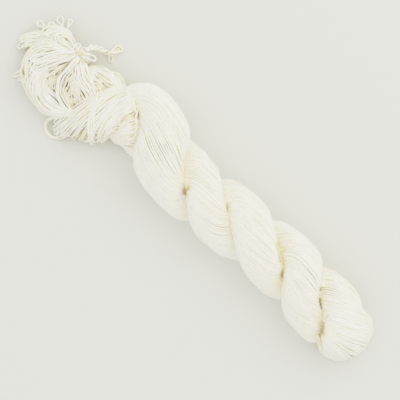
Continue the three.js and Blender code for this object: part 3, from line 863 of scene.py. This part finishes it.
# the loose end: families of strands that spread from the tied neck
tuftFamilies = {
    "farLeft": {"count": 10, "sink": 0.1, "loops": True, "guides": [
        [(-151, 15, 14), (-157.5, 14, 12.5), (-162.5, 11.5, 10), (-166.5, 7, 7.5), (-169.5, 3, 5.5),
         (-171, -0.5, 3)],
        [(-151, 12.5, 15), (-157, 11, 13.5), (-161.5, 7.5, 12), (-165.5, 3, 9), (-168.5, -1, 6),
         (-169.5, -3.5, 3)],
        [(-151, 10, 15), (-156, 7.5, 14), (-160, 4, 12.5), (-163, -0.5, 10), (-165.5, -3.5, 6.5),
         (-166.5, -5, 3)],
        [(-151, 7.5, 15), (-155, 4, 14), (-158.5, 0.5, 12), (-161, -3, 9), (-162.5, -5, 6), (-163, -6, 3)],
    ]},
    "topLeft": {"count": 9, "sink": 0.2, "guides": [
        [(-156, 12, 14), (-158, 16, 11), (-157.5, 19.5, 9), (-155, 22.5, 9), (-151.5, 25, 9),
         (-147.5, 27, 8)],
        [(-153.5, 12, 17), (-154.8, 15.5, 15), (-153.8, 18.5, 14), (-151, 21.8, 13), (-147.5, 24.5, 12),
         (-143.5, 26, 10)],
        [(-150.5, 12.5, 20), (-151, 15.5, 19), (-149.5, 18.5, 18), (-147, 21.5, 17), (-144, 23.5, 15),
         (-140.5, 24.5, 12)],
    ]},
    "topArc": {"count": 8, "sink": -0.1, "guides": [
        [(-132, 20, 20), (-136, 22.5, 17), (-140, 25, 13), (-144, 26.5, 10), (-148.5, 26, 9),
         (-152, 23.5, 9), (-154, 20, 11)],
        [(-132, 19.5, 21), (-136, 21.5, 19), (-140.5, 23.5, 16), (-144.5, 24.5, 14), (-148.5, 23.5, 13),
         (-151.5, 20.5, 14), (-153, 17, 15)],
        [(-132, 19, 22), (-136.5, 20.5, 21), (-141, 22, 18), (-145, 22.5, 17), (-148.5, 21, 17),
         (-151, 18, 18), (-152, 14.5, 18)],
    ]},
    "behind": {"count": 12, "sink": 0.1, "guides": [
        [(-118, 17, 17), (-111, 21.5, 15), (-104.5, 24, 14), (-99, 25, 13.5), (-93, 24.4, 13.5),
         (-87.5, 22, 13), (-82, 19.5, 13)],
        [(-117, 16, 18), (-110, 19, 17.5), (-104, 21, 17.5), (-98.5, 21.8, 18), (-93, 21.2, 18),
         (-88, 19.5, 18), (-83, 17.5, 17)],
        [(-115, 13.5, 19), (-109, 15.8, 18.5), (-103.5, 17, 18.5), (-98, 17, 18.5), (-93, 16.5, 18),
         (-89, 15, 17), (-85, 13, 16)],
        [(-114, 10, 18), (-109, 11.4, 17.5), (-104, 12, 17), (-99.5, 12, 17), (-95.5, 11.5, 16.5),
         (-92, 10.5, 16), (-89, 9, 15)],
    ]},
    "lowerOval": {"count": 12, "guides": [
        [(-139, -6, 25), (-143, -11.5, 22), (-143.3, -17, 17), (-139.5, -23, 11), (-133.5, -28, 8),
         (-127, -31, 6.5), (-120, -31.5, 6.5), (-114, -29.5, 7.5), (-109, -25.5, 10), (-104, -20, 13)],
        [(-137.5, -6, 25), (-140.7, -11.5, 23), (-140.3, -17, 19), (-136, -22.5, 15), (-130, -26.8, 13),
         (-123.5, -28.6, 12), (-117, -28, 12.5), (-111.5, -25.5, 13.5), (-107, -22, 15), (-102, -17.5, 16)],
        [(-136, -6, 25), (-138, -11.5, 23.5), (-137, -16.5, 20.5), (-132.8, -21, 19), (-127, -24.3, 18),
         (-120.5, -25.5, 17.5), (-114.5, -24.5, 17.5), (-109.5, -22, 18), (-105.5, -19, 18),
         (-101, -15.5, 17)],
        [(-134.5, -6, 24), (-135.5, -11.5, 22), (-133.5, -15.5, 20), (-129.5, -19, 19), (-124, -21.3, 18.5),
         (-118, -21.8, 18.5), (-113, -21, 18.5), (-108.5, -19, 18.5), (-105, -16.5, 18), (-101, -13.5, 17)],
        [(-134, -6, 22), (-134, -11, 20), (-131.5, -15, 18.5), (-127.5, -17.8, 18), (-122, -19.2, 18),
         (-116.5, -19.2, 18), (-112, -18.8, 18), (-108, -17.6, 18), (-105, -15.5, 17), (-101, -12.5, 16)],
    ]},
    "upperOval": {"count": 4, "free": True, "guides": [
        [(-137.5, -5, 25), (-136.6, -10, 23), (-134.6, -13.4, 21), (-131.5, -15.6, 19.8),
         (-127.5, -16.7, 19.2), (-123, -16.5, 19), (-119.5, -16, 19), (-116, -16.4, 19)],
        [(-136, -5, 25), (-134.8, -9, 22.8), (-133, -11.8, 21), (-130.3, -13.8, 19.8), (-126.8, -14.8, 19.2),
         (-122.8, -14.4, 19.2), (-119.8, -14.6, 19.4), (-116.5, -15.6, 19.4)],
    ]},
    # the strands in the hollow take a little painted shade
    "hollowLeft": {"count": 6, "free": True, "paintedShade": 0.1, "guides": [
        [(-137.5, 2, 24), (-136, -1, 22.5), (-134.4, -4.4, 21), (-132.2, -8, 19.5), (-131.2, -11.5, 18.5),
         (-130.4, -14, 17.5), (-128, -17, 15)],
        [(-135.4, 3, 24), (-134, 0, 22.5), (-132.4, -3, 21), (-130.9, -6.2, 20), (-130.2, -10, 18.8),
         (-129.9, -13.4, 17.8), (-127.5, -16.5, 15)],
        [(-132.5, 4, 25), (-131, 1, 23), (-129.6, -2.4, 21), (-128.8, -6, 20), (-128, -9.4, 19),
         (-126.8, -11.8, 18), (-124, -13.5, 16.5)],
        [(-129.8, 6, 26), (-128.8, 1.5, 24), (-127.8, -2.5, 21), (-127, -6.4, 20), (-126, -9.4, 19),
         (-124, -11.6, 18), (-121, -13, 17)],
    ]},
    "hollowFloor": {"count": 8, "free": True, "paintedShade": 0.15, "guides": [
        [(-124.6, 5, 24), (-123.8, 1, 21.5), (-122.6, -2, 19.6), (-121, -4.6, 18.6), (-118.6, -7, 18.2),
         (-115, -8.4, 18), (-111, -9.8, 17.5), (-106, -12, 16)],
        [(-124, -3, 20), (-122.5, -6, 19), (-120.3, -9, 18.5), (-117, -10.2, 18.5), (-113.5, -10.9, 18.5),
         (-110, -12.3, 18), (-106, -14.2, 17.5), (-102, -15, 16)],
        [(-125, -4, 19.5), (-123.5, -7.5, 18.5), (-121, -10.2, 18), (-117.5, -11.7, 18), (-113.5, -12.4, 18),
         (-110, -13.7, 18), (-106, -15.3, 17.5), (-102, -15.6, 16)],
        [(-125.5, -6, 19), (-123.8, -9.6, 18), (-121, -12.2, 17.6), (-117.5, -13.4, 17.6),
         (-113.5, -14.2, 17.6), (-109.5, -15.4, 17.6), (-105.5, -16.2, 17), (-102, -16.2, 16)],
    ]},
    "hollowRight": {"count": 11, "free": True, "paintedShade": 0.1, "guides": [
        [(-123, 9, 28), (-122.6, 4, 26.5), (-122.2, -1, 23.5), (-121.2, -5.4, 21), (-119, -8.8, 19.6),
         (-115, -10.4, 18.6), (-111, -11.2, 17.5)],
        [(-119, 8, 27), (-118, 3, 25.5), (-116.8, -2, 21.5), (-115.8, -6, 18.8), (-113.8, -9, 17.8),
         (-110, -10.8, 17), (-107, -12, 16)],
        [(-116.5, 7, 27), (-115.2, 1.5, 25.5), (-113.4, -1.5, 22.5), (-111.4, -4.6, 19.5),
         (-109.2, -7.6, 17.5), (-106.5, -9.4, 16.5), (-104, -10.5, 15)],
        [(-113.5, 5.5, 27), (-111.8, 0, 25.5), (-109.8, -2.6, 23), (-107.6, -5.4, 20.5),
         (-105.4, -7.8, 18.5), (-103.2, -9.4, 17), (-101, -10.5, 15)],
        [(-110.5, 4, 27), (-108.4, -1.5, 25.5), (-106.6, -3.4, 23.5), (-104.8, -5.2, 21.5),
         (-102.8, -6.8, 20), (-101, -8, 18), (-99, -9, 16)],
    ]},
    "topFill": {"count": 8, "sink": 0.5, "guides": [
        [(-153, 13.5, 19), (-149, 15, 20.5), (-144.5, 15.8, 21), (-140, 16.5, 21), (-136, 17.2, 20),
         (-132, 18, 20)],
        [(-153, 17, 17), (-149, 18.5, 19.5), (-144.5, 19.5, 20.5), (-140, 20, 20), (-136, 20, 18),
         (-132, 20, 18)],
    ]},
    "outerSweep": {"count": 9, "sink": 0.1, "guides": [
        [(-136, 18, 22), (-146, 15.2, 19), (-153.5, 12.5, 15), (-157.5, 7, 12), (-159, 0, 9),
         (-158.5, -7, 7), (-155.5, -14, 6), (-151, -20, 6), (-144, -24, 6), (-136, -26.5, 6)],
        [(-135, 17.5, 24), (-144.5, 13.5, 24), (-151, 9.5, 20), (-155, 3.5, 17), (-156.8, -3, 14),
         (-155.8, -9, 12), (-152, -15, 11), (-147, -20, 11), (-141, -23.3, 11), (-134, -25.5, 11)],
        [(-134, 16.5, 25), (-142.5, 11.5, 27), (-148.5, 6.5, 25), (-152.8, 0.5, 21), (-154, -5, 18),
         (-152.5, -10.5, 16), (-149, -15.5, 15), (-144.5, -19.5, 15), (-139, -22, 15), (-132, -24, 15)],
    ]},
    "frontFan": {"count": 12, "sink": -0.2, "loops": True, "guides": [
        [(-131.5, 18.5, 25), (-139.5, 13.5, 28), (-146, 7, 28.5), (-151, 0.5, 24), (-153, -5, 21),
         (-152, -10, 19)],
        [(-130.5, 18, 25), (-137.5, 12, 29), (-143, 5, 30), (-148, -2, 27), (-150, -7, 24),
         (-149, -10.5, 22)],
        [(-129.5, 17.5, 26), (-135, 10.5, 30), (-139.5, 3.5, 31), (-144, -4, 28), (-146.5, -9.5, 24),
         (-146, -13, 22)],
        [(-128.5, 17, 26), (-132.5, 9.5, 30), (-136.5, 2, 31), (-140.5, -5.5, 28), (-144, -11.5, 24),
         (-144.5, -15, 21)],
        [(-127.5, 16.5, 26), (-130, 8.5, 30), (-133, 1, 30), (-137, -5.5, 28), (-140, -11, 24),
         (-141, -15, 21)],
    ]},
    "rightSweep": {"count": 12, "sink": -0.1, "guides": [
        [(-126.3, 17.5, 26), (-126.3, 13, 28), (-124.2, 8, 28.5), (-119.5, 3.8, 28), (-113, 1, 27.5),
         (-106.5, -0.8, 26.5), (-101, -2.5, 25)],
        [(-125, 18, 26), (-123, 13, 28.5), (-118.5, 8.5, 29), (-112.5, 5.5, 29), (-107, 4, 28),
         (-102, 2.2, 26.5), (-97.5, 0.5, 25)],
        [(-124, 18.5, 26), (-120.5, 15, 28), (-115.5, 11.2, 28.5), (-110, 9.2, 28), (-104.5, 8, 26.5),
         (-100.5, 6, 25.5), (-96, 4, 25)],
        [(-123, 19, 25), (-119, 17.5, 27), (-114.5, 14.8, 27.5), (-110.5, 12, 26.5), (-107, 9.8, 25.5),
         (-103.5, 8, 24), (-99, 6, 23)],
        [(-121.5, 20.5, 23), (-118, 20.5, 25), (-114.5, 18.8, 25.5), (-111.5, 16, 25), (-109, 13, 24),
         (-106.5, 10.5, 22.5), (-103, 8.5, 21)],
    ]},
}


# single strands that stand out: those that cross the hollow, hairpins, rings and curls
features = {
    "hollow": [
        [(-132, -14.6, 20), (-127.5, -17.4, 19.2), (-122.5, -18.3, 19), (-118, -18.5, 19),
         (-113.5, -18.4, 19), (-109, -17.6, 18.6), (-104, -15.8, 18)],
        [(-126.8, 17, 25), (-127, 11, 28), (-126.6, 4, 27.5), (-127.2, -2, 25), (-126.2, -6, 22.8),
         (-123.8, -9.8, 21.6), (-121.6, -12.6, 21.2), (-119, -14.8, 21), (-115, -16.6, 20.6),
         (-111, -17.6, 20), (-106, -18, 19), (-101, -16.5, 17)],
        [(-126, 17, 25), (-126, 11, 28), (-125.6, 5, 27.5), (-126.2, -1, 25.2), (-125, -5.6, 23),
         (-122.8, -9.2, 21.8), (-120.6, -12, 21.4), (-118, -14, 21), (-114, -15.6, 20.4), (-110, -16.6, 20),
         (-105, -16.8, 19), (-100, -15.2, 17)],
        [(-124.8, 17, 25), (-124.4, 11, 28), (-124, 5, 27.5), (-124.4, -0.5, 25), (-123, -5.6, 22.5),
         (-121, -9, 21), (-118.8, -11.4, 20.4), (-116, -12.8, 20), (-112, -14, 19.6), (-108, -15, 19.4),
         (-104, -15.4, 19), (-100, -14, 17)],
    ],
    "hairpins": [
        [(-131, 17.5, 26), (-138, 11, 31), (-144, 3.5, 32), (-149, -2.5, 29), (-151.2, -6, 27),
         (-150.3, -8.6, 26), (-148, -8.2, 27), (-146, -4.5, 29), (-142.5, 2, 32), (-137, 10, 31.5),
         (-131, 16.5, 28)],
        [(-128.5, 16, 27), (-131.5, 8, 31), (-135, 1, 32), (-137.5, -4, 30), (-141, -9.5, 27),
         (-143.5, -12.6, 25), (-143.3, -14.3, 24), (-141, -13.5, 24), (-138.5, -9, 26), (-136, -4, 28)],
        [(-131, 20.5, 22), (-136, 21, 22), (-140, 21.8, 21), (-143.5, 21.5, 21), (-146, 19.5, 22),
         (-146, 16.8, 23.5), (-143.5, 15.6, 25), (-140.5, 16.4, 26), (-136, 17.4, 26.5), (-130, 17.5, 26)],
        [(-131, 22, 20), (-136, 23, 18), (-140, 24.2, 16), (-144, 24.8, 15), (-147.8, 23, 16),
         (-149.6, 19, 19.5), (-148.5, 15.5, 21), (-145, 13.6, 25)],
        [(-107, 20.5, 17), (-103, 24.5, 14), (-99, 27, 12.5), (-95, 27.4, 12), (-91, 25.8, 13),
         (-87, 22.5, 15), (-83, 19.5, 15)],
    ],
    "collarLoops": [
        [(-106, -20, 18), (-110.5, -26.5, 11), (-114.4, -31.5, 4.5), (-114, -36.5, 2.2), (-110, -40, 1.8),
         (-104.5, -40.6, 1.8), (-100, -38.3, 2.4), (-97, -35.3, 4), (-95, -30, 11)],
        [(-105, -20, 19), (-109.5, -26.5, 12), (-113, -31.5, 6), (-112.9, -35.8, 3.6), (-109.5, -38.8, 2.6),
         (-104.6, -39.4, 2.4), (-100.6, -37.4, 3.6), (-98, -34, 6), (-96, -28, 13)],
    ],
    "curls": [
        [(-152, -14, 9), (-153.8, -19.8, 6), (-155.2, -24.4, 3), (-154.6, -25.8, 2.4), (-153.2, -24.4, 3.4),
         (-151.9, -22, 4.6), (-150.9, -24.4, 2.6), (-150.4, -26.4, 2.2), (-149.2, -24.8, 3.4),
         (-148.5, -19, 8)],
        [(-133.2, 17, 23), (-134.2, 20.8, 21.5), (-133.8, 23.6, 20), (-132, 24.4, 20), (-130.9, 22, 21.5),
         (-131, 18, 24)],
        [(-125.5, 20.5, 24), (-123.5, 22.8, 23), (-120.6, 24.4, 21), (-118.6, 25.2, 19.6), (-117, 24.4, 19),
         (-116.4, 22.6, 19.4), (-118.8, 21.4, 21), (-122.2, 20, 23.5), (-125, 18.5, 25)],
    ],
}


# small rings of yarn that stand out of the loose end
rings = [
    # middle, half length, half width, foot
    ((-166.0, -6.7, 3.2), 1.9, 1.2, (-161.5, -2.6, 7.5)),
    ((-166.0, 16.1, 5.0), 2.3, 2.2, (-159.5, 15.4, 9.0)),
    ((-158.0, 20.6, 12.5), 2.4, 2.1, (-152.6, 18.9, 15.5)),
    ((-157.1, 28.1, 4.6), 2.8, 2.4, (-151.3, 25.0, 9.0)),
    ((-150.8, 32.0, 4.0), 2.3, 1.2, (-148.5, 27.0, 8.5)),
]


ringShape = {"open": 150, "points": 9, "rise": 0.8, "droop": 0.25, "footHalf": 0.5}


def ringRoute(place, long, wide, foot):
    place, foot = np.array(place), np.array(foot)
    axis = (place - foot)[:2] / np.linalg.norm((place - foot)[:2])
    side = np.array([-axis[1], axis[0]])
    angle = np.radians(np.linspace(-ringShape["open"], ringShape["open"], ringShape["points"]))
    flat = place[:2] + np.outer(np.cos(angle) * long, axis) + np.outer(np.sin(angle) * wide, side)
    droop = ringShape["droop"] * (foot[2] - place[2]) * (1 - np.cos(angle))
    height = place[2] + ringShape["rise"] * angle / math.pi + droop
    ring = np.c_[flat, height]
    lead = ringShape["footHalf"] * np.append(side, 1)
    return np.concatenate([[foot + lead], ring, [foot - lead]])


def makeFeatures(material):
    features["rings"] = [ringRoute(*ring) for ring in rings]
    for name, routes in features.items():
        # these take less of the painted side shade
        strands = [strand(smoothRoute(route, perSpan=10), flankShade=0.3) for route in routes]
        yarnPiece(name, strands, material, "hank", radius=yarn["looseRadius"], gap=1.0)


# the tie: doubled yarn wound round the neck and knotted, with its end twisted together

tie = {
    "neckPlace": (-127.5, 20.0, 11.6), "neckWide": 6.2, "neckHigh": 8.8, "turns": 3, "lift": 1.2,
    "strandRadius": 0.8, "gap": 0.8, "low": 1.2, "bandHalf": 1.2, "apart": (-0.45, 0.45), "askew": 1.4,
    "waver": 0.5, "waverRate": 2.3, "waverShare": 0.3, "perTurn": 40,
    "tailPlaces": 90, "tailRadius": 2.65, "tailPitch": 12.5, "tailStrandRadius": 0.85, "tailStrands": 2,
    "tailFlankShade": 0.4, "tailPair": 0.75, "pairPitch": 24.0, "pairPlaces": 19,
    # the knot's loops take a little painted shade
    "tipRadius": 0.9, "tipGap": 0.7, "tipPaintedShade": 0.1,
}
tipRoutes = [  # a loop drawn up in the knot, a second turn inside it, and two free ends
    [(-113, 34, 3.4), (-113.6, 36.4, 3.8), (-114, 39.8, 3), (-113.4, 42.9, 2), (-111, 43.7, 1.6),
     (-108.8, 43, 1.6), (-109, 40.6, 2.2), (-111, 37.8, 3.6), (-112.8, 35.8, 4.6), (-114.4, 34.6, 4.2),
     (-113.6, 33.2, 2.6), (-111.8, 33.8, 1.8), (-111.6, 36, 2.2)],
    [(-112, 35, 1.6), (-112.2, 38.4, 1.6), (-112, 41, 1.4), (-110.8, 41.8, 1.4), (-110.2, 40.6, 1.6),
     (-111.2, 38.4, 2), (-112.6, 36.2, 2.4)],
    [(-113.8, 36.4, 2.2), (-113.8, 34.2, 2), (-112.8, 32.4, 1.2), (-111, 30.8, 0.95), (-109.2, 29.9, 0.95)],
    [(-111.6, 37, 2), (-110.6, 35, 1.8), (-109.6, 33.4, 1.1), (-109, 31.8, 0.95), (-108.4, 30.2, 0.95)],
]
tailRoute = [
    (-126.8, 24.2, 22.0), (-126.1, 26.8, 19.8), (-124.8, 29.2, 15.8), (-122.8, 31.2, 10.8),
    (-120.0, 32.6, 6.4), (-117.2, 33.4, 3.6), (-114.4, 34.3, 2.4), (-112.1, 35.7, 2.2), (-110.9, 37.7, 2.2),
]


# strands twisted together about a route
def twisted(route, strandCount, pitch, offset, phase=0.0):
    points = resample(smoothRoute(route, perSpan=12), tie["tailPlaces"])
    lengths = lengthsAlong(points)
    along = unit(np.gradient(points, axis=0))
    side = unit(np.cross(along, (0.0, 0.0, 1.0)))
    up = np.cross(side, along)
    out = []
    for k in range(strandCount):
        angle = (2 * math.pi * (lengths / pitch + k / strandCount) + phase)[:, None]
        out.append(points + offset * (np.cos(angle) * side + np.sin(angle) * up))
    return out


knot = {
    "place": (-127.0, 20.8, 22.0), "size": 1.7, "turn": 0.6, "swell": 1.15, "points": 70,
    "turns": 3, "ripple": 0.18, "ripples": 5, "across": 0.8, "acrossShift": 0.35, "high": 0.9, "rise": 0.3,
}


# a small knot pulled tight: turns wound askew about each other
def knotRoute():
    t = np.linspace(0, 2 * math.pi, knot["points"])
    ring = 1 + knot["ripple"] * np.sin(knot["ripples"] * t + knot["turn"])
    around = knot["turns"] * t + knot["turn"]
    x = ring * np.cos(around) * np.cos(t / 2)
    y = ring * (np.sin(around) * knot["across"] + knot["acrossShift"] * np.sin(t / 2))
    z = ring * (np.cos(around) * np.sin(t / 2) * knot["high"] + knot["rise"] * np.sin(2 * t))
    return np.stack([x, y, z], axis=1) * knot["size"] + np.array(knot["place"])


def makeTail(material):
    middles = twisted(tailRoute, tie["tailStrands"], tie["tailPitch"],
                      tie["tailRadius"] - tie["tailStrandRadius"] - tie["tailPair"])
    strands = []
    for k, middle in enumerate(middles):  # each is a pair of yarns
        for points in twisted(resample(middle, tie["pairPlaces"]), 2, tie["pairPitch"], tie["tailPair"], k):
            keepAbove(points, tie["tailStrandRadius"])
            strands.append(strand(points, flankShade=tie["tailFlankShade"]))
    tail = yarnPiece("tieTail", strands, material, "tie_end", tie["tailStrandRadius"], tie["gap"])
    strands = [strand(smoothRoute(route), tie["tipPaintedShade"], flankShade=tie["tailFlankShade"]) for route in tipRoutes]
    tip = yarnPiece("tieTipKnot", strands, material, "end_knot", tie["tipRadius"], tie["tipGap"])


def makeTie(material):
    angle = np.linspace(0, 2 * math.pi * tie["turns"], tie["perTurn"] * tie["turns"])
    x, y, z = tie["neckPlace"]
    wide, high = tie["neckWide"] + tie["lift"], tie["neckHigh"] + tie["lift"]
    across = np.linspace(-tie["bandHalf"], tie["bandHalf"], len(angle))
    strands = []
    for k, shift in enumerate(tie["apart"]):
        turn = angle + tie["askew"] * k
        waver = tie["waverShare"] * (tie["waver"] * np.sin(tie["waverRate"] * angle + k))
        points = np.stack([x + (wide + waver) * np.cos(turn), y + across + shift + waver,
                           z + (high + waver) * np.sin(turn)], axis=1)
        strands.append(strand(keepAbove(points, tie["low"])))
    strands.append(strand(knotRoute(), swell=knot["swell"]))
    yarnPiece("tieBand", strands, material, "tie", tie["strandRadius"], tie["gap"])


# assembly

addCamera()
addLight("keyLight", light["keySize"], light["keyPower"], light["keyPlace"])
addLight("fillLight", light["fillSize"], light["fillPower"], light["fillPlace"])
addWorld()
addTable(mottledMaterial("paleTable", table))
print("camera, light and table")

creamWool = woolMaterial("creamWool")
makeTail(creamWool)
makeTie(creamWool)
makeHeart(mottledMaterial("heartShade", heart))
makeRope(creamWool)
makeFoldFan(creamWool)
print("rope")
makeFirstCoat(creamWool)
makeFamilies(collarFamilies, creamWool, loose=0.6, sway=0.3, flankShade=1.0)
makeFamilies(tuftFamilies, creamWool, loose=0.8, sway=0.5, flankShade=0.5)
makeFeatures(creamWool)
makeFoldSides(creamWool)
print("loose end")
